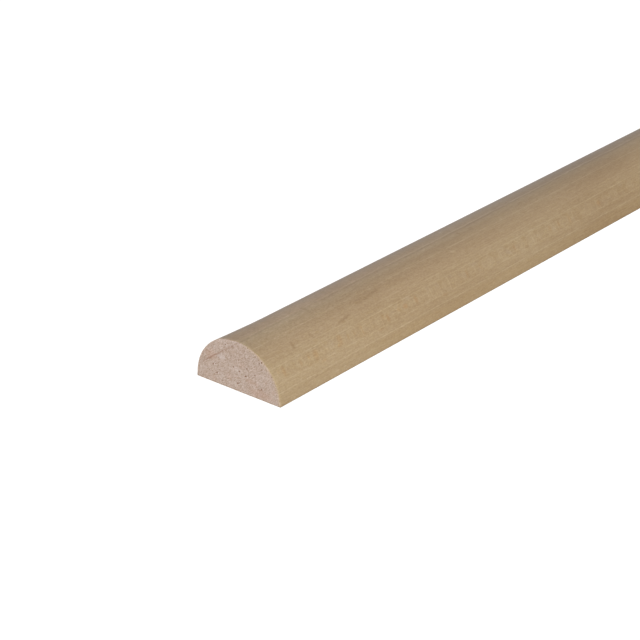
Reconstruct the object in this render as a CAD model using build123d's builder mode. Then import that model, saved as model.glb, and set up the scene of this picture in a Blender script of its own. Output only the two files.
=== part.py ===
from build123d import *
import os

# Half round moulding: one straight piece of planed hardwood, sold as long stock.
# It lies on its flat back. X runs along the grain, Y across the back, Z up to the crown.
# The origin is the middle of the back, halfway along the piece.

# Driving dimensions, in millimetres
width = 25.0  # across the flat back
rise = 12.5  # from the flat back to the crown; half the width makes a true half round
length = 900.0  # the shorter of the two lengths that the stock is sold in, 900 and 2400
arris_radius = 0.15  # a light sanding just takes the sharpness off the two long back edges

# The section as the moulding cutter leaves it, seen on the sawn end
back_left = (-width / 2, 0)
back_right = (width / 2, 0)
crown = (0, rise)
end_plane = Plane.YZ.offset(-length / 2)

with BuildPart() as moulding:
    with BuildSketch(end_plane) as section:
        with BuildLine():
            ThreePointArc(back_left, crown, back_right)
            Line(back_right, back_left)
        make_face()
        fillet(section.vertices(), radius=arris_radius)
    extrude(amount=length)

moulding.part.label = "half_round_moulding"

os.makedirs("parts", exist_ok=True)
export_step(moulding.part, "parts/half_round_moulding.step")
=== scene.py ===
import math

import bpy
from mathutils import Matrix, Vector


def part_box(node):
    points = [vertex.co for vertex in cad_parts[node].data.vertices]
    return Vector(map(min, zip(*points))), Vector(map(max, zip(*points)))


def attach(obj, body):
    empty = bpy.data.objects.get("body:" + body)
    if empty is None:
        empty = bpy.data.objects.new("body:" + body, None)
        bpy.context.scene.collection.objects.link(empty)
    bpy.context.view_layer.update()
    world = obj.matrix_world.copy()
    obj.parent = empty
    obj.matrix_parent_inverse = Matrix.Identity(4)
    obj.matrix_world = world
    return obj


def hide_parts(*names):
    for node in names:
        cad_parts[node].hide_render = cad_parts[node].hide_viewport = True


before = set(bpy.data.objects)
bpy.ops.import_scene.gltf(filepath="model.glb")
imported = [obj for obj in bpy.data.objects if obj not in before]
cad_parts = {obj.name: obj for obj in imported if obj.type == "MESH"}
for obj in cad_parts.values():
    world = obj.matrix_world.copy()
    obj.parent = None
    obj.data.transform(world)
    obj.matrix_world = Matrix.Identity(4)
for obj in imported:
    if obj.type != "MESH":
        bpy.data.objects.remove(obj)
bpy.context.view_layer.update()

# Half round moulding: one planed length of pale hardwood that lies on its flat back.
# X runs along the grain from the near sawn end, Y across the back, Z up to the crown.

mm = 0.001

# The section and the length, in metres
node_low, node_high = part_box("half_round_moulding")
width = 25 * mm
face_radius = width / 2
arris_radius = 0.08 * mm
length = node_high.x - node_low.x
near_end = node_low.x

# How the wood was cut out of the log. The growth rings cross the section at a slant.
ring_slant = math.radians(33.5)
grain_runout = 0.0036  # the rings leave the edge of the piece by this share of its length
saw_slant = math.radians(39)  # the saw's tracks on the ends


class Value:
    """A number in a node tree. Arithmetic on it adds Math nodes to the same tree."""

    def __init__(self, nodes, socket):
        self.nodes = nodes
        self.socket = socket

    def __add__(self, other):
        return self.nodes.math("ADD", self, other)

    def __radd__(self, other):
        return self.nodes.math("ADD", other, self)

    def __sub__(self, other):
        return self.nodes.math("SUBTRACT", self, other)

    def __rsub__(self, other):
        return self.nodes.math("SUBTRACT", other, self)

    def __mul__(self, other):
        return self.nodes.math("MULTIPLY", self, other)

    def __truediv__(self, other):
        return self.nodes.math("DIVIDE", self, other)

    def __pow__(self, other):
        return self.nodes.math("POWER", self, other)

    def __neg__(self):
        return self.nodes.math("MULTIPLY", self, -1.0)

    def __abs__(self):
        return self.nodes.math("ABSOLUTE", self)

    def __gt__(self, other):
        return self.nodes.math("GREATER_THAN", self, other)

    def __lt__(self, other):
        return self.nodes.math("LESS_THAN", self, other)


class Nodes:
    """Adds nodes to one tree and links them, so that a shape or a pattern reads like a formula."""

    def __init__(self, tree):
        self.tree = tree

    def feed(self, socket, value):
        if isinstance(value, Value):
            value = value.socket
        if isinstance(value, bpy.types.NodeSocket):
            self.tree.links.new(value, socket)
        else:
            socket.default_value = value

    def add(self, kind, inputs=None, **settings):
        made = self.tree.nodes.new(kind)
        for name, value in settings.items():
            setattr(made, name, value)
        for name, value in (inputs or {}).items():
            self.feed(made.inputs[name], value)
        return made

    def math(self, operation, first, second=0.0):
        made = self.add("ShaderNodeMath", {0: first, 1: second}, operation=operation)
        return Value(self, made.outputs[0])

    def root(self, value):
        return self.math("SQRT", self.math("MAXIMUM", value, 0.0))

    def vector(self, x, y, z):
        return self.add("ShaderNodeCombineXYZ", {0: x, 1: y, 2: z}).outputs[0]

    def split(self, vector):
        made = self.add("ShaderNodeSeparateXYZ", {0: vector})
        return [Value(self, out) for out in made.outputs]

    def scaled(self, vector, factor):
        made = self.add("ShaderNodeVectorMath", {0: vector, "Scale": factor}, operation="SCALE")
        return made.outputs[0]

    def fade(self, value, start, end):
        """1 up to start, smoothly down to 0 at end, or the other way round where end is the lower."""
        turned = isinstance(end, (int, float)) and start > end
        low, high = (end, start) if turned else (start, end)
        ends = (0.0, 1.0) if turned else (1.0, 0.0)
        made = self.add(
            "ShaderNodeMapRange",
            {"Value": value, "From Min": low, "From Max": high, "To Min": ends[0], "To Max": ends[1]},
            interpolation_type="SMOOTHSTEP",
        )
        return Value(self, made.outputs["Result"])

    def noise(self, vector, detail=2.0, seed=0.0):
        """Smooth noise about 0, mostly within a half either way, one blob to each unit of vector."""
        inputs = {"Vector": vector, "W": seed, "Scale": 1.0, "Detail": detail, "Roughness": 0.5}
        made = self.add("ShaderNodeTexNoise", inputs, noise_dimensions="4D")
        return Value(self, made.outputs[0]) - 0.5

    def cells(self, vector, feature="F1", randomness=1.0):
        inputs = {"Vector": vector, "Scale": 1.0, "Randomness": randomness}
        return self.add("ShaderNodeTexVoronoi", inputs, feature=feature, voronoi_dimensions="2D")


# The shape: four sheets that share their rims

rims_meet_within = 0.002 * mm
end_facing = 0.6  # a face that looks along the grain by more than this is a sawn one


def half_round_tree(planed, sawn):
    """A half round with eased back arrises and worn sawn ends. Its sizes are named inputs."""
    tree = bpy.data.node_groups.new("half round stock", "GeometryNodeTree")
    add_inputs(tree)
    n = Nodes(tree)
    given = n.add("NodeGroupInput").outputs
    sheets = [
        long_sheet(n, given, raised=1.0, map_rows=round_face_map),
        long_sheet(n, given, raised=0.0, map_rows=flat_back_map),
        end_sheet(n, given, side=-1.0, corner=near_end_map),
        end_sheet(n, given, side=1.0, corner=far_end_map),
    ]
    joined = n.add("GeometryNodeJoinGeometry")
    for sheet in reversed(sheets):
        tree.links.new(sheet, joined.inputs[0])
    loose = {"Geometry": joined.outputs[0], "Distance": rims_meet_within}
    closed = n.add("GeometryNodeMergeByDistance", loose)
    swollen = swollen_shoulder(n, given, closed.outputs[0])
    feathered = feathered_edges(n, given, swollen)
    worn = worn_surface(n, given, feathered)
    smooth = n.add("GeometryNodeSetShadeSmooth", {"Geometry": worn})
    finish_tree(n, smooth.outputs[0], planed, sawn)
    return tree


def add_inputs(tree):
    """The sizes that the tree asks for, in metres, and its counts."""
    def ask(name, value, kind="NodeSocketFloat"):
        tree.interface.new_socket(name, in_out="INPUT", socket_type=kind).default_value = value

    ask("Width", width)
    ask("Length", length)
    ask("Arris Radius", arris_radius)
    ask("Swelling", 0.42 * mm)
    ask("Swelling Length", 16 * mm)
    ask("Feather", 0.10 * mm)
    ask("Feather Height", 1.5 * mm)
    ask("End Wear", 0.14 * mm)
    ask("Saw Relief", 0.06 * mm)
    ask("Waviness", 0.05 * mm)
    ask("Points Across", 141, "NodeSocketInt")
    ask("Points Along", 221, "NodeSocketInt")
    ask("Points Up", 57, "NodeSocketInt")
    ask("Seed", 3.0)
    tree.interface.new_socket("Geometry", in_out="OUTPUT", socket_type="NodeSocketGeometry")


def unit_grid(n, first_count, second_count):
    """A flat grid, and each point's two shares of the way across it."""
    inputs = {"Size X": 1.0, "Size Y": 1.0, "Vertices X": first_count, "Vertices Y": second_count}
    grid = n.add("GeometryNodeMeshGrid", inputs)
    place = n.split(n.add("GeometryNodeInputPosition").outputs[0])
    return grid.outputs[0], place[0] + 0.5, place[1] + 0.5


def section_point(n, given, share, raised):
    """The across and up place on the section. raised is 0 on the flat back and 1 on the round face."""
    radius = Value(n, given["Width"]) * 0.5
    arris = Value(n, given["Arris Radius"])
    centre = n.root(radius * radius - radius * arris * 2.0)
    widest = centre + arris
    across = n.math("COSINE", share * math.pi) * widest * -1.0
    beside = abs(across)
    past = n.math("MAXIMUM", beside - centre, 0.0)
    drop = n.root(arris * arris - past * past)
    bottom = arris - drop
    touch = centre * radius / (radius - arris)
    on_arris = beside > touch
    top = n.root(radius * radius - across * across)
    top = top + on_arris * (arris + drop - top)
    inside = n.math("MINIMUM", (widest - beside) * 1.0e6, 1.0)
    return across, bottom + (top - bottom) * inside * raised


row_crowding = 2.2  # 1 spaces the rows evenly, and more crowds them towards both ends


def from_middle(n, share, half_length):
    """A place along the piece, counted from its middle."""
    way = share * 2.0 - 1.0
    out = 1.0 - (1.0 - abs(way)) ** row_crowding
    return n.math("SIGN", way) * out * half_length


def stored_map(n, sheet, u, v):
    """Keeps a place on the map that the finish is baked through."""
    place = n.vector(u, v, 0.0)
    inputs = {"Geometry": sheet, "Name": "OFBake", "Value": place}
    return n.add("GeometryNodeStoreNamedAttribute", inputs, data_type="FLOAT2", domain="CORNER").outputs[0]


def of_face(n, value):
    """The value at a face's middle, alike at all its corners."""
    made = n.add("GeometryNodeFieldOnDomain", {0: value}, data_type="FLOAT", domain="FACE")
    return Value(n, made.outputs[0])


# The map that the finish is baked through, in shares of its side. The near stretch, which is
# seen close up, gets most of its room. A row is its lowest place and its height, and an end is
# its left and lowest place, its width and its height.
close_stretch = 160 * mm
map_edge = 0.004
close_row = (0.452, 0.54)
rest_row = (0.118, 0.11)
back_row = (0.008, 0.10)
near_end_map = (0.004, 0.236, 0.40, 0.20)
far_end_map = (0.42, 0.236, 0.30, 0.15)


def in_row(row, share):
    lowest, height = row
    return share * height + lowest


def along_map(share):
    """A share of the way along the map, clear of its edges."""
    return share * (1 - 2 * map_edge) + map_edge


def round_face_map(x, face_x, share):
    """The close stretch takes the top half of the map, and the rest a strip below it."""
    close = face_x < near_end + close_stretch
    u_close = (x - near_end) / close_stretch
    u_rest = (x - near_end - close_stretch) / (length - close_stretch)
    u = u_rest + close * (u_close - u_rest)
    v_rest = in_row(rest_row, share)
    v = v_rest + close * (in_row(close_row, share) - v_rest)
    return along_map(u), v


def flat_back_map(x, face_x, share):
    return along_map((x - near_end) / length), in_row(back_row, share)


def long_sheet(n, given, raised, map_rows):
    """The round face, raised, or the flat back, turned over so that both face outwards."""
    sheet, along, share = unit_grid(n, given["Points Along"], given["Points Across"])
    half_length = Value(n, given["Length"]) * 0.5
    x = from_middle(n, along, half_length)
    across, up = section_point(n, given, share, raised)
    mapped = stored_map(n, sheet, *map_rows(x, of_face(n, x), share))
    placed = n.add("GeometryNodeSetPosition", {"Geometry": mapped, "Position": n.vector(x, across, up)})
    if raised:
        return placed.outputs[0]
    return n.add("GeometryNodeFlipFaces", {0: placed.outputs[0]}).outputs[0]


def end_sheet(n, given, side, corner):
    """A sawn end. side is -1 at the near end and 1 at the far end."""
    sheet, rise, share = unit_grid(n, given["Points Up"], given["Points Across"])
    raised = 0.5 - n.math("COSINE", rise * math.pi) * 0.5
    across, up = section_point(n, given, share, raised)
    x = Value(n, given["Length"]) * 0.5 * side
    left, low, wide, high = corner
    u = (across / width + 0.5) * wide + left
    v = up / face_radius * high + low
    mapped = stored_map(n, sheet, u, v)
    placed = n.add("GeometryNodeSetPosition", {"Geometry": mapped, "Position": n.vector(x, across, up)})
    if side < 0:
        return placed.outputs[0]
    return n.add("GeometryNodeFlipFaces", {0: placed.outputs[0]}).outputs[0]


def swollen_shoulder(n, given, geometry):
    """Where the cutter let go of the wood, the far shoulder of the near end is left a little full.
    It rises just past the crown, and is down to under half at the far foot."""
    x, y, z = n.split(n.add("GeometryNodeInputPosition").outputs[0])
    from_near = x + Value(n, given["Length"]) * 0.5
    along = n.math("MAXIMUM", 1.0 - from_near / given["Swelling Length"], 0.0) ** 1.5
    around = n.math("ARCTAN2", z, -y) * (180 / math.pi)
    rising = n.fade(around, 118.0, 96.0)
    falling = n.fade(around, 150.0, 185.0) * 0.55 + 0.45
    share = rising * falling * along * given["Swelling"] / face_radius
    offset = n.vector(0.0, y * share, z * share)
    return n.add("GeometryNodeSetPosition", {"Geometry": geometry, "Offset": offset}).outputs[0]


def feathered_edges(n, given, geometry):
    """The cutter pushes a thin feather of wood outwards along both back edges, less at the far one."""
    _, y, z = n.split(n.add("GeometryNodeInputPosition").outputs[0])
    on_far_side = n.math("GREATER_THAN", y, 0.0)
    share = n.fade(z, 0.0, given["Feather Height"]) * given["Feather"] / face_radius
    share = share * (1.0 - on_far_side * 0.6)
    offset = n.vector(0.0, y * share, 0.0)
    return n.add("GeometryNodeSetPosition", {"Geometry": geometry, "Offset": offset}).outputs[0]


def by_the_saw(y, z):
    """A place on a sawn end, counted across the saw's tracks and along them. The saw ran at a
    slant, and its tracks are long one way and short the other."""
    across = z * math.cos(saw_slant) + y * math.sin(saw_slant)
    along = z * math.sin(saw_slant) - y * math.cos(saw_slant)
    return across, along


def worn_surface(n, given, geometry):
    """Rounds the sawn arrises unevenly, leaves the saw's tracks and takes the straightness off."""
    place = n.add("GeometryNodeInputPosition").outputs[0]
    x, y, z = n.split(place)
    seed = given["Seed"]
    from_end = Value(n, given["Length"]) * 0.5 - abs(x)
    from_axis = n.root(y * y + z * z)
    from_outline = n.math("MINIMUM", Value(n, given["Width"]) * 0.5 - from_axis, z)
    from_rim = n.math("MAXIMUM", from_end, from_outline)

    torn = n.noise(n.scaled(place, 1 / (1.3 * mm)), detail=3.0, seed=seed)
    reach = Value(n, given["End Wear"]) * n.math("MAXIMUM", torn * 2.4 + 0.8, 0.35)
    closeness = n.math("MAXIMUM", 1.0 - from_rim / reach, 0.0)
    rounded = reach * closeness * closeness * 0.35

    across, along = by_the_saw(y, z)
    tracks = n.noise(n.vector(across / (1.1 * mm), along / (9 * mm), x / length), seed=seed)
    on_end = from_end < 0.001 * mm
    sawn = Value(n, given["Saw Relief"]) * (tracks + 0.5) * on_end

    wander = n.noise(n.vector(x / (60 * mm), y / (9 * mm), z / (9 * mm)), detail=1.0, seed=seed)
    off_back = n.math("MINIMUM", z / (3 * mm), 1.0)
    uneven = Value(n, given["Waviness"]) * wander * off_back

    outwards = n.add("GeometryNodeInputNormal").outputs[0]
    offset = n.scaled(outwards, uneven - rounded - sawn)
    return n.add("GeometryNodeSetPosition", {"Geometry": geometry, "Offset": offset}).outputs[0]


def finish_tree(n, geometry, planed, sawn):
    """Makes everything real and gives the long faces and the two ends their finish."""
    facing = n.split(n.add("GeometryNodeInputNormal").outputs[0])[0]
    real = n.add("GeometryNodeRealizeInstances", {0: geometry})
    along = n.add("GeometryNodeSetMaterial", {"Geometry": real.outputs[0], "Material": planed})
    ends = {"Geometry": along.outputs[0], "Selection": abs(facing) > end_facing, "Material": sawn}
    n.feed(n.add("NodeGroupOutput").inputs[0], n.add("GeometryNodeSetMaterial", ends).outputs[0])


def plain_mesh(name, tree):
    """Runs the tree on an empty object and keeps only the mesh that it makes."""
    holder = bpy.data.objects.new(name + "_maker", bpy.data.meshes.new(name + "_maker"))
    bpy.context.scene.collection.objects.link(holder)
    modifier = holder.modifiers.new("shape", "NODES")
    modifier.node_group = tree
    for item in tree.interface.items_tree:
        if item.in_out == "INPUT":
            modifier[item.identifier] = item.default_value
    depsgraph = bpy.context.evaluated_depsgraph_get()
    mesh = bpy.data.meshes.new_from_object(holder.evaluated_get(depsgraph))
    mesh.name = name
    holder.modifiers.remove(modifier)
    bpy.data.objects.remove(holder)
    piece = bpy.data.objects.new(name, mesh)
    bpy.context.scene.collection.objects.link(piece)
    return piece


# The wood: one log pattern that both finishes cut through

wood_radius = face_radius / mm
mm_per_degree = wood_radius * math.pi / 180  # round the face


class Wood:
    """Places inside the log, in millimetres, for a material's patterns. radial runs across the
    growth rings, tangential along them, and around goes over the face from its near foot, in
    degrees, with the crown at 90."""

    def __init__(self, n):
        place = n.add("ShaderNodeTexCoord").outputs["Object"]
        x, self.y, self.z = n.split(n.scaled(place, 1 / mm))
        self.x = x - near_end / mm
        self.from_end = n.math("MINIMUM", self.x, length / mm - self.x)
        wander = n.noise(n.vector(self.x / 45, self.y / 9, self.z / 9), detail=1.0)
        outward = self.y * -math.sin(ring_slant) - self.z * math.cos(ring_slant)
        self.radial = outward + self.x * grain_runout + wander * 0.5
        self.tangential = self.z * math.sin(ring_slant) - self.y * math.cos(ring_slant)
        self.around = n.math("ARCTAN2", self.z, -self.y) * (180 / math.pi)


# Where the growth rings lie across the log, and how strongly each shows as a pale line
growth_rings = (
    (-7.50, 0.9),
    (-3.80, 0.5),
    (-3.15, 0.6),
    (-1.70, 1.0),
    (1.95, 0.7),
    (3.98, 1.3),
    (5.70, 0.4),
)

# One ring is stained brown. It lies a little steeper than the rest and shows on the sawn end too.
stained_ring = -9.87
stained_ring_tilt = 0.045


def material(name, build):
    made = bpy.data.materials.new(name)
    made.use_nodes = True
    made.node_tree.nodes.clear()
    n = Nodes(made.node_tree)
    shader = n.add("ShaderNodeBsdfPrincipled")
    out = n.add("ShaderNodeOutputMaterial")
    made.node_tree.links.new(shader.outputs[0], out.inputs["Surface"])
    build(n, shader.inputs)
    return made


def tinted(n, colour, share, tint):
    """colour, with a share of it multiplied by tint."""
    made = n.add("ShaderNodeMix", {"Factor": share}, data_type="RGBA", blend_type="MULTIPLY")
    n.feed(made.inputs[6], colour)
    n.feed(made.inputs[7], (*tint, 1.0))
    return made.outputs[2]


def wood_colour(n, pale, gain):
    """pale, made darker or lighter by gain. Darker wood is browner as well."""
    red, green, blue = pale
    return n.vector(gain * red, gain ** 1.33 * green, gain ** 1.7 * blue)


def relief(n, shader, height, strength, depth):
    """Fine relief that is too small for the shape."""
    bump = n.add("ShaderNodeBump", {"Height": height, "Strength": strength, "Distance": depth})
    n.feed(shader["Normal"], bump.outputs[0])


def from_stained_ring(wood):
    return wood.radial + wood.tangential * stained_ring_tilt - stained_ring


def ring_lines(n, wood):
    """The thin pale line at the end of each year's growth, brighter here and fainter there,
    and the brown line of the stained ring."""
    waver = n.noise(n.vector(wood.x / 4, wood.radial / 2, 0.0), detail=3.0, seed=5.0) * 0.24
    slow = n.noise(n.vector(wood.x / 14, wood.radial / 2.5, 0.0), detail=1.0, seed=22.0) * 0.30
    patchy = n.noise(n.vector(wood.x / 5, wood.radial / 1.2, 0.0), detail=3.0, seed=8.0) * 3.0 + 0.8
    place = wood.radial + waver + slow
    from_stain = from_stained_ring(wood) + waver * 1.8 + slow

    # A pale line runs just past the stained ring, and is fainter near the end
    past_stain = n.fade(abs(from_stain + 0.36), 0.02, 0.24)
    lines = past_stain * (n.fade(wood.from_end, 20.0, 60.0) * -0.5 + 1.1)
    for ring, strength in growth_rings:
        lines = lines + n.fade(abs(place - ring), 0.02, 0.17) * strength
    patchy = n.math("MAXIMUM", patchy, 0.08)
    return lines * patchy, n.fade(abs(from_stain), 0.04, 0.26) * n.math("MINIMUM", patchy, 1.3)


def ray_flecks(n, wood):
    """Sheets of ray cells run out from the pith. Where the face is cut along them they show as
    a ladder of short rungs. Returns the rungs' tone, the thin line round each, and the band."""
    bend = n.noise(n.vector(wood.x / 1.6, wood.radial / 1.2, 0.0), detail=2.0, seed=2.0)
    depth = wood_radius - wood.tangential
    sheet = n.vector(wood.x / 1.8 + bend * 0.6, depth / 0.13 + bend * 0.3, 0.0)
    tone = n.split(n.cells(sheet, randomness=0.9).outputs["Color"])[0] - 0.5
    edge = n.fade(Value(n, n.cells(sheet, "DISTANCE_TO_EDGE", 0.9).outputs[0]), 0.02, 0.10)
    ragged = n.noise(n.vector(wood.x / 1.1, wood.radial, 0.0), detail=2.0, seed=3.0) * 0.05
    return tone, edge, n.fade(depth + ragged, 0.12, 0.17)


# Marks on the planed face: how far along, how far round in degrees, half the length,
# half the height, how much it leans, and how dark it is, where below 0 is paler
handling_marks = (
    (10.4, 53.5, 0.40, 1.0, 0.1, 0.15),
    (17.2, 53.0, 0.55, 0.6, -0.8, 0.10),
    (23.0, 87.0, 0.40, 1.9, 0.0, 0.11),
    (28.9, 53.5, 2.6, 0.4, 0.16, 0.12),
    (39.6, 63.0, 5.0, 0.5, 0.10, 0.09),
    (74.6, 64.0, 0.8, 0.5, -0.3, -0.14),
    (82.6, 84.5, 0.4, 0.5, 0.0, 0.13),
    (68.5, 86.0, 0.7, 0.35, 0.3, -0.12),
    (80.5, 103.5, 0.7, 0.5, 0.5, -0.12),
)

# Broad soft stretches of the wood itself, given like the marks
tone_stretches = (
    (16.5, 92.0, 2.5, 1.5, 0.0, -0.06),
    (23.0, 104.0, 7.0, 3.0, 0.0, -0.06),
    (51.0, 52.0, 9.0, 1.2, 0.0, -0.05),
    (75.0, 20.0, 16.0, 1.5, 0.0, 0.035),
)

# The rungs of the ladder that are orange brown, and three streaks along its lower edge. They
# are given like the marks, with how orange they are.
orange_rungs = (
    (3.9, 34.0, 0.50, 1.1, 0.2, 0.65),
    (2.2, 36.0, 0.40, 0.4, 0.0, 0.4),
    (9.8, 33.0, 0.40, 0.8, 0.0, 0.4),
    (12.7, 34.5, 0.30, 0.6, 0.0, 0.6),
    (15.1, 33.5, 0.75, 1.2, 0.2, 0.75),
    (16.9, 23.8, 0.80, 0.25, 0.0, 0.6),
    (23.0, 30.0, 0.40, 0.4, 0.0, 0.7),
    (24.0, 35.0, 0.80, 1.2, 0.1, 0.65),
    (26.9, 34.5, 0.25, 0.6, 0.0, 0.6),
    (29.3, 34.5, 0.25, 0.5, 0.0, 0.5),
    (32.1, 33.0, 0.20, 1.3, 0.1, 0.8),
    (38.1, 23.8, 0.80, 0.25, 0.0, 0.5),
    (40.2, 35.0, 0.35, 0.6, 0.0, 0.6),
    (41.7, 31.5, 0.50, 0.8, 0.0, 0.9),
    (46.0, 34.0, 0.40, 0.5, 0.0, 0.6),
    (48.8, 34.0, 0.80, 0.6, 0.0, 1.0),
    (53.2, 34.5, 0.45, 1.1, 0.0, 0.7),
    (63.6, 23.8, 0.90, 0.25, 0.0, 0.5),
    (73.9, 33.0, 0.30, 0.9, 0.0, 0.6),
    (79.5, 33.5, 0.30, 0.8, 0.0, 0.4),
    (94.7, 34.0, 0.40, 0.8, 0.0, 0.7),
    (111.0, 34.0, 0.50, 0.8, 0.0, 0.5),
    (115.2, 34.5, 0.30, 0.7, 0.0, 0.8),
    (120.2, 33.5, 0.50, 0.9, 0.0, 0.6),
    (134.4, 33.5, 0.80, 0.8, 0.0, 0.8),
)

# A few rungs that are paler than the wood, with how pale they are
pale_rungs = (
    (19.1, 33.0, 0.25, 1.0, 0.0, 0.05),
    (24.8, 34.0, 0.20, 0.9, 0.0, 0.05),
    (57.7, 33.0, 0.16, 1.5, 0.1, 0.08),
    (59.1, 33.5, 0.16, 1.3, 0.1, 0.08),
    (60.9, 33.0, 0.14, 1.2, 0.0, 0.07),
    (62.8, 32.5, 0.16, 1.4, 0.0, 0.08),
    (66.6, 34.0, 0.16, 1.5, -0.1, 0.09),
    (69.4, 33.0, 0.14, 1.2, 0.0, 0.06),
    (77.2, 33.0, 0.16, 1.4, 0.0, 0.06),
    (88.8, 33.0, 0.18, 1.5, 0.0, 0.07),
    (102.9, 33.0, 0.18, 1.4, 0.0, 0.06),
    (114.5, 33.0, 0.16, 1.3, 0.0, 0.06),
)


def marks(n, wood, places):
    """The marks of one list together, soft and ragged."""
    total = 0.0
    torn = n.noise(n.vector(wood.x / 0.8, wood.around / 4, 0.0), detail=2.0, seed=9.0) * 1.2
    for along, around, half_length, half_height, lean, strength in places:
        run = wood.x - along
        rise = (wood.around - around) * mm_per_degree - run * lean
        off = n.root((run / half_length) ** 2.0 + (rise / half_height) ** 2.0)
        total = total + n.fade(off + torn, 0.4, 1.6) * strength
    return total


planed_pale = (0.465, 0.330, 0.196)

# What the planed wood's colour is multiplied by in places, as red, green and blue
planed_tints = {
    "warm patch": (0.99, 0.98, 0.90),
    "warm rung": (1.0, 0.99, 0.96),
    "cool rung": (0.985, 1.0, 1.07),
    # painted sheen
    "painted_sheen": (1.03, 1.04, 1.07),
    "crown": (1.0, 0.975, 0.98),
    "lower part": (1.0, 1.022, 1.008),
    "away from the end": (1.0, 1.03, 1.06),
    "orange rung": (0.98, 0.875, 0.75),
    "stained ring": (0.90, 0.89, 0.87),
    "foot": (1.0, 0.98, 0.93),
    "past the stain": (1.0, 0.97, 0.96),
    "past the stain, far in": (0.92, 0.93, 0.97),
    # partly painted shade on the far shoulder, partly greyer wood
    "shoulder": (0.90, 0.90, 0.93),
    # partly painted shade along the very edge, partly grime from handling
    "edge shade and grime": (0.80, 0.745, 0.63),
}


class PlanedGrain:
    """The patterns that the shade, the tints and the relief of the planed face share."""

    def __init__(self, n, wood):
        x, y, z = wood.x, wood.y, wood.z
        self.cloud = n.noise(n.vector(x / 40, y / 3.5, z / 3.5), detail=3.0, seed=4.0)

        # Long fine streaks of vessels, threads of fibre and the fuzz that planing leaves
        self.streak = n.noise(n.vector(x / 8, y / 0.32, z / 0.32), detail=3.0, seed=6.0)
        self.thread = n.noise(n.vector(x / 1.8, y / 0.25, z / 0.25), detail=2.0, seed=7.0)
        self.fuzz = n.noise(n.vector(x / 0.6, y / 0.35, z / 0.35), detail=2.0, seed=10.0)

        self.lines, self.stain = ring_lines(n, wood)
        self.tone, self.edge, self.ladder = ray_flecks(n, wood)
        self.high = n.fade(wood.around, 80.0, 55.0)  # 0 low on the near side, 1 from near the crown on


def broad_shade(n, wood):
    """The wood is palest at its end and darkest about 142 mm in. A faint pale stripe runs along
    below the crown, and the near foot is a little darker, past the first few millimetres."""
    paler = n.fade(wood.from_end, 0.0, 70.0) * 0.085 + n.fade(wood.from_end, 95.0, 125.0) * 0.045
    paler = paler + n.fade(abs(wood.around - 75.0), 2.0, 8.0) * 0.02
    foot = n.fade(wood.around, 24.0, 32.0) * n.fade(wood.from_end, 16.0, 4.0)
    darker = n.fade(abs(wood.from_end - 142.0), 5.0, 25.0) * 0.05 + foot * 0.018
    return paler - darker


def tool_traces(n, wood, grain):
    """Towards the end the cutter chattered across the grain. From the crown on it left scratches.
    Along the sawn arris the face is paler: partly a painted highlight on the rounded arris, partly torn
    fibre."""
    ripple = n.noise(n.vector(wood.x / 2.4, wood.around / 70, 0.0), detail=2.0, seed=17.0)
    ripple = ripple * n.fade(wood.from_end, 14.0, 45.0) * grain.high
    scratch = n.noise(n.vector(wood.x / 0.6, wood.around / 22, 0.0), detail=2.0, seed=20.0)
    scratch = scratch * n.fade(wood.around, 100.0, 80.0)
    # Paler along the sawn arris: partly painted highlight, partly torn fibre
    torn = n.fade(wood.from_end + grain.fuzz * 0.4, 0.15, 0.8)
    torn = torn * (n.fade(wood.around, 100.0, 60.0) * 0.10 + 0.05)
    return ripple * 0.20 + scratch * 0.22 + torn


def planed_gain(n, wood, grain):
    """How light the planed wood is from place to place."""
    band = n.noise(n.vector(wood.x / 260, wood.radial / 1.9, 0.0), detail=3.0, seed=1.0)
    gain = band * 0.12 + grain.cloud * 0.20 + broad_shade(n, wood) + 0.88
    near = n.fade(wood.from_end, 20.0, 90.0)
    fuzziness = near * (grain.high * 0.10 + 0.15) + 0.30
    gain = gain + grain.streak * 0.22 + grain.thread * 0.29 + grain.fuzz * fuzziness
    gain = gain + grain.lines * 0.12 + (grain.tone * 0.04 + grain.edge * 0.06) * grain.ladder
    gain = gain - marks(n, wood, handling_marks) - marks(n, wood, tone_stretches)
    gain = gain + marks(n, wood, pale_rungs)

    # The wood on both sides of the stained ring is a little paler, mostly within 115 mm of the end
    beside_stain = n.fade(abs(wood.radial + 10.1), 0.4, 1.4)
    gain = gain + beside_stain * (n.fade(wood.from_end, 75.0, 115.0) * 0.9 + 0.1) * 0.08
    return gain + tool_traces(n, wood, grain)


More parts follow.
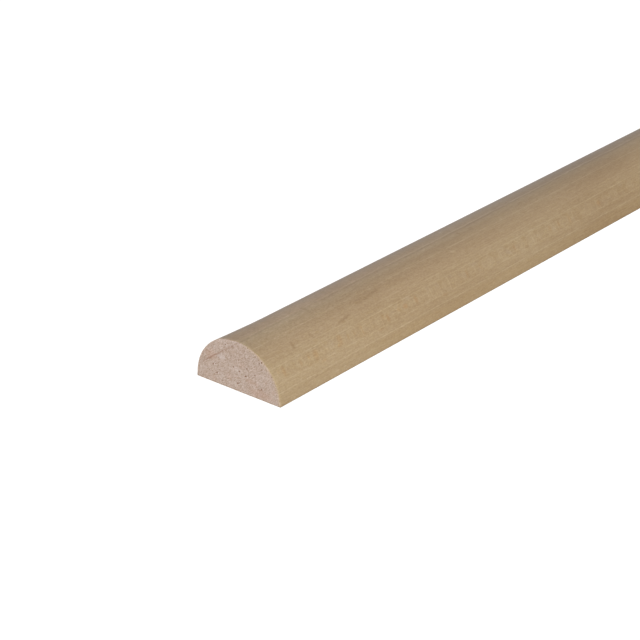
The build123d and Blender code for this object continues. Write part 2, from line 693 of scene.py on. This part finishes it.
def planed_colour(n, wood, grain):
    """The planed wood's shade, with its tints over it one by one."""
    colour = wood_colour(n, planed_pale, planed_gain(n, wood, grain))

    def tint(under, name, share):
        return tinted(n, under, share, planed_tints[name])

    # Patches that are a little warmer or cooler than the rest, and patches of painted sheen, pale and
    # silvery, from just below the crown on
    warmth = n.noise(n.vector(wood.x / 1.1, wood.y / 0.55, wood.z / 0.55), detail=2.0, seed=19.0)
    colour = tint(colour, "warm patch", n.fade(warmth, 0.35, -0.10))
    colour = tint(colour, "warm rung", n.fade(grain.tone, -0.5, 0.1) * grain.ladder)
    cool = n.noise(n.vector(wood.x / 3.2, wood.around / 12, 0.0), detail=2.0, seed=21.0)
    colour = tint(colour, "cool rung", n.fade(cool, 0.25, 0.0) * grain.ladder)
    painted_sheen = n.noise(n.vector(wood.x / 5, wood.around / 14, 0.0), detail=3.0, seed=18.0)
    # Painted sheen, pale and silvery, in patches from just below the crown over to the far side
    colour = tint(colour, "painted_sheen", n.fade(painted_sheen, 0.30, 0.0) * n.fade(wood.around, 110.0, 85.0))

    # Near the end, the face is pinker from the crown on
    colour = tint(colour, "crown", n.fade(wood.around, 98.0, 84.0) * n.fade(wood.from_end, 45.0, 75.0))

    # The lower part is a little yellower, and away from the end the wood is greyer
    colour = tint(colour, "lower part", n.fade(wood.around, 40.0, 60.0))
    colour = tint(colour, "away from the end", n.fade(wood.from_end, 115.0, 45.0))
    colour = tint(colour, "orange rung", marks(n, wood, orange_rungs))
    colour = tint(colour, "stained ring", grain.stain)

    # The foot of the round face is warmer, least at the end
    warm_foot = n.fade(wood.radial + grain.cloud * 2, 5.2, 3.8)
    colour = tint(colour, "foot", warm_foot * (1.0 - n.fade(wood.from_end, 22.0, 52.0) * 0.7))

    # Past the stained ring the wood is pinker, and greyer far in. The far shoulder is darker and greyer
    # all
    # along: partly painted shade, partly greyer wood. Both end below the shoulder.
    above = n.fade(wood.around, 118.0, 138.0)
    past_stain = n.fade(wood.radial + grain.cloud * 2, -10.6, -9.8) * above
    colour = tint(colour, "past the stain", past_stain)
    colour = tint(colour, "past the stain, far in", past_stain * n.fade(wood.from_end, 150.0, 60.0))
    # Painted shade over the far shoulder, with greyer wood
    colour = tint(colour, "shoulder", n.fade(wood.around, 116.0, 104.0) * above)

    # The very edge is darker brown: partly painted shade where it meets the table, partly grime from
    # handling. The flat back, at height 0, stays as it is.
    edge_shade_and_grime = n.fade(wood.z + grain.fuzz * 0.2, 0.05, 0.40) * (wood.z > 0.001)
    return tint(colour, "edge shade and grime", edge_shade_and_grime)


def planed_face(n, shader):
    """The long faces as the cutter and a light sanding leave them."""
    wood = Wood(n)
    grain = PlanedGrain(n, wood)
    n.feed(shader["Base Color"], planed_colour(n, wood, grain))
    n.feed(shader["Roughness"], grain.streak * 0.25 + grain.fuzz * 0.15 - grain.lines * 0.04 + 0.52)
    shader["Specular IOR Level"].default_value = 0.5
    shader["IOR"].default_value = 1.5
    height = grain.streak * 0.5 + grain.thread * 0.4 + grain.fuzz * 0.4 - grain.lines * 0.2
    relief(n, shader, height, strength=0.3, depth=0.06 * mm)


# The open pores on the sawn end that are large enough to see: across, up and radius
open_pores = (
    (-2.7, 6.6, 0.20),
    (1.3, 5.8, 0.18),
    (-0.45, 5.25, 0.22),
    (-2.3, 4.55, 0.22),
    (7.65, 4.65, 0.19),
    (6.5, 2.7, 0.20),
    (0.2, 2.0, 0.22),
    (-0.2, 2.2, 0.16),
    (-7.15, 9.55, 0.21),
    (-5.2, 10.4, 0.17),
    (-6.4, 9.1, 0.18),
    (-7.05, 2.85, 0.20),
    (4.75, 1.25, 0.15),
    (2.1, 8.4, 0.15),
    (-5.1, 5.7, 0.17),
    (3.7, 10.8, 0.18),
)


def pores(n, wood):
    """The large pores one by one, and the small ones as scattered dots. The first value is 1 in
    a large pore and less in a small one. The second is 1 on the raised lip beside a large one."""
    tug = n.noise(n.vector(wood.y / 0.25, wood.z / 0.25, 0.0), detail=1.0, seed=14.0) * 0.2
    dots = n.cells(n.vector(wood.y / 1.0, wood.z / 1.0, 0.0))
    chance = n.split(dots.outputs["Color"])
    size = chance[0] * 0.22 - 0.12
    darkness = chance[1] * 0.7 + 0.25
    hole = n.fade(Value(n, dots.outputs["Distance"]) + tug * 0.5 - size, 0.0, 0.07) * darkness
    lip = 0.0
    for y, z, radius in open_pores:
        off = n.root((wood.y - y) ** 2.0 + (wood.z - z) ** 2.0) + tug
        hole = n.math("MAXIMUM", hole, n.fade(off, radius * 0.6, radius * 1.3))
        beside = n.root((wood.y - y + radius * 1.9) ** 2.0 + (wood.z - z) ** 2.0) + tug
        lip = lip + n.fade(beside, radius * 0.6, radius * 1.6)
    return hole, lip


def patch(n, wood, y, z, half_y, half_z, ragged):
    """1 in the middle of a soft ragged spot on the sawn end, and 0 outside it."""
    off = n.root(((wood.y - y) / half_y) ** 2.0 + ((wood.z - z) / half_z) ** 2.0)
    return n.fade(off + ragged, 0.3, 1.2)


sawn_pale = (0.545, 0.421, 0.345)

# What the sawn end's colour is multiplied by in places, as red, green and blue
sawn_tints = {
    "rosy": (0.99, 0.92, 0.88),
    "cool": (0.985, 1.0, 1.03),
    "bruise": (0.97, 0.90, 0.86),
    "stained ring": (0.78, 0.68, 0.63),
    "browned rim": (0.96, 0.92, 0.80),
    # painted shade along the lowest edge
    "foot": (0.85, 0.78, 0.70),
    "pore": (0.45, 0.31, 0.20),
}

# Soft spots on the sawn end: across, up, half the width, half the height, and how much paler
pale_spot_place = (5.2, 7.2, 1.3, 0.9)
end_spots = (
    (0.8, 5.2, 2.6, 0.5, 0.12),
    (8.9, 4.1, 0.8, 0.5, 0.12),
    (1.2, 1.4, 1.8, 1.1, 0.07),
    (-3.7, 8.7, 1.8, 1.3, -0.07),
)

# Bruises on the sawn end: the same four, then how ragged and how strong
bruises = (
    (-6.8, 1.4, 4.2, 1.3, 2.0, 1.0),
    (8.4, 6.9, 2.2, 1.6, 1.0, 1.0),
    (-4.0, 3.7, 2.2, 0.9, 1.0, 0.8),
)


class EndGrain:
    """The patterns that the shade, the tints and the relief of the sawn end share."""

    def __init__(self, n, wood):
        y, z = wood.y, wood.z
        across, along = by_the_saw(y, z)
        self.hatch = n.noise(n.vector(across / 0.28, along / 0.85, 0.0), detail=2.0, seed=11.0)
        self.speck = n.noise(n.vector(y / 0.27, z / 0.27, 0.0), detail=1.0, seed=12.0)
        self.mottle = n.noise(n.vector(y / 1.1, z / 1.1, 0.0), detail=2.0, seed=16.0)
        self.hole, self.lip = pores(n, wood)
        self.inside = wood_radius - n.root(y * y + z * z) + self.speck * 0.3  # in from the round rim
        self.pale_spot = patch(n, wood, *pale_spot_place, self.mottle * 2.2)


def sawn_gain(n, wood, grain):
    """How light the sawn end is from place to place."""
    y, z = wood.y, wood.z
    cloud = n.noise(n.vector(y / 3.5, z / 3.5, 0.0), detail=2.0, seed=13.0)
    gain = grain.hatch * 0.84 + grain.speck * 0.86 + grain.mottle * 0.40 + cloud * 0.20
    gain = gain + grain.lip * 0.17 + 0.982
    fleck = n.noise(n.vector(y / 0.42, z / 0.42, 0.0), detail=0.0, seed=23.0)
    gain = gain + n.fade(fleck, 0.34, 0.20) * 0.16 + grain.pale_spot * 0.14
    for across, up, half_width, half_height, paler in end_spots:
        gain = gain + patch(n, wood, across, up, half_width, half_height, grain.mottle) * paler

    # Along the rim the end is paler, but not on the far side: partly a painted highlight where the rounded
    # rim catches the light, partly torn fibre
    return gain + n.fade(grain.inside, 0.2, 0.75) * n.fade(y, 3.0, 8.0) * 0.12


def sawn_colour(n, wood, grain):
    """The sawn end's shade, with its tints over it one by one."""
    colour = wood_colour(n, sawn_pale, sawn_gain(n, wood, grain))
    y, z = wood.y, wood.z

    def tint(under, name, share):
        return tinted(n, under, share, sawn_tints[name])

    rosy = n.noise(n.vector(y / 2.0, z / 2.0, 0.0), detail=3.0, seed=15.0)
    colour = tint(colour, "rosy", n.fade(rosy, 0.30, 0.02))
    colour = tint(colour, "cool", n.fade(rosy, -0.30, 0.0) + grain.pale_spot)
    bruised = 0.0
    for across, up, half_width, half_height, ragged, strength in bruises:
        spot = patch(n, wood, across, up, half_width, half_height, rosy * ragged)
        bruised = bruised + spot * strength
    colour = tint(colour, "bruise", bruised)

    # The stained ring is fainter towards the crown, and faintest at the far rim
    waver = grain.mottle * 0.55 + grain.hatch * 0.3
    stain = n.fade(abs(from_stained_ring(wood) + waver), 0.04, 0.30)
    stain = stain * (n.fade(y, 6.5, 2.5) * 0.4 + 0.6) * (n.fade(y, 9.8, 11.6) * 0.75 + 0.25)
    colour = tint(colour, "stained ring", stain)
    near_side = n.fade(y + grain.mottle * 4, -4.0, 0.0)
    colour = tint(colour, "browned rim", n.fade(grain.inside + grain.mottle * 0.5, 0.25, 0.95) * near_side)
    # Along its lowest edge the end is darker and browner: painted shade where it meets the table
    colour = tint(colour, "foot", n.fade(z + grain.speck * 0.3, 0.10, 0.40))
    return tint(colour, "pore", grain.hole)


def sawn_end(n, shader):
    """End grain as the saw leaves it: pinker, duller, with open pores and slanting saw tracks."""
    wood = Wood(n)
    grain = EndGrain(n, wood)
    n.feed(shader["Base Color"], sawn_colour(n, wood, grain))
    n.feed(shader["Roughness"], grain.speck * 0.2 + 0.8)
    shader["Specular IOR Level"].default_value = 0.3
    height = grain.hatch * 0.6 + grain.speck * 0.5 + grain.mottle * 0.4 - grain.hole
    relief(n, shader, height, strength=0.6, depth=0.08 * mm)


# The studio

room_radius = 40.0
floor_gap = 0.02 * mm  # keeps the floor clear of the flat back
room_white = 1.1


def white_studio():
    """A white table in a white room. They only fill the picture and give the piece no light."""
    bpy.ops.mesh.primitive_circle_add(vertices=64, radius=room_radius, fill_type="NGON")
    floor = bpy.context.object
    floor.name = "floor"
    floor.location.z = -floor_gap
    bpy.ops.mesh.primitive_uv_sphere_add(segments=48, ring_count=24, radius=room_radius)
    room = bpy.context.object
    room.name = "room"

    def build(n, shader):
        shader["Base Color"].default_value = (0.0, 0.0, 0.0, 1.0)
        shader["Roughness"].default_value = 1.0
        shader["Specular IOR Level"].default_value = 0.0
        shader["Emission Color"].default_value = (1.0, 1.0, 1.0, 1.0)
        shader["Emission Strength"].default_value = room_white

    white = material("white_table", build)
    for part in (floor, room):
        part.data.materials.append(white)
        part.visible_diffuse = False
        part.visible_glossy = False
        part.visible_shadow = False
    return floor, room


# The light comes from beside the camera, and a paler wall stands behind the piece
lamp_towards = (-135, 19)  # round from the grain direction, and up, in degrees
lamp_strength = 3.15
lamp_spread = 60
glow_towards = (72, -38)  # the white table throws light up at the far side
glow_strength = 1.6
glow_spread = 50
wall_towards = (48, 12)
wall_strength = 0.98
wall_narrowness = 8.0
room_strength = 0.25


def direction(towards):
    a, e = (math.radians(angle) for angle in towards)
    return Vector((math.cos(a) * math.cos(e), math.sin(a) * math.cos(e), math.sin(e)))


def lamp(name, towards, strength, spread):
    """A broad soft lamp a long way off. spread is how wide it looks, in degrees."""
    data = bpy.data.lights.new(name, "SUN")
    data.energy = strength
    data.angle = math.radians(spread)
    lit = bpy.data.objects.new(name, data)
    lit.rotation_euler = direction(towards).to_track_quat("Z", "Y").to_euler()
    bpy.context.scene.collection.objects.link(lit)


def soft_light():
    lamp("soft_lamp", lamp_towards, lamp_strength, lamp_spread)
    lamp("table_glow", glow_towards, glow_strength, glow_spread)

    world = bpy.data.worlds.new("pale_room")
    world.use_nodes = True
    n = Nodes(world.node_tree)
    background = world.node_tree.nodes["Background"]
    background.inputs["Color"].default_value = (1.0, 1.0, 1.0, 1.0)
    x, y, z = n.split(n.add("ShaderNodeTexCoord").outputs["Generated"])
    wall = direction(wall_towards)
    behind = n.math("MAXIMUM", x * wall.x + y * wall.y + z * wall.z, 0.0) ** wall_narrowness
    n.feed(background.inputs["Strength"], behind * wall_strength + room_strength)
    bpy.context.scene.world = world


# The camera stands in front of the near end, off to its right, and looks down on it
camera_azimuth = math.radians(-50.374)
camera_elevation = math.radians(25.459)
camera_distance = 18.350 * width
camera_lens = 113.19  # on Blender's 36 mm wide sensor
aim_right = 0.7435 * width  # the picture's centre lies to the right of the near end's foot
aim_up = 0.6510 * width  # and above it


def photo_camera():
    a, e = camera_azimuth, camera_elevation
    back = Vector((math.sin(a) * math.cos(e), -math.cos(a) * math.cos(e), math.sin(e)))
    right = Vector((math.cos(a), math.sin(a), 0.0))
    up = back.cross(right)
    foot = Vector((near_end, 0.0, 0.0))
    camera = bpy.data.objects.new("camera", bpy.data.cameras.new("camera"))
    camera.data.lens = camera_lens
    place = foot + aim_right * right + aim_up * up + camera_distance * back
    turn = Matrix((right, up, back)).transposed().to_4x4()
    camera.matrix_world = Matrix.Translation(place) @ turn
    bpy.context.scene.collection.objects.link(camera)
    bpy.context.scene.camera = camera


photo_camera()
soft_light()
for backdrop in white_studio():
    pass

shape = half_round_tree(material("planed_face", planed_face), material("sawn_end", sawn_end))
moulding = plain_mesh("moulding", shape)
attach(moulding, "root")
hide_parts("half_round_moulding")

bpy.context.scene.view_settings.view_transform = "Standard"
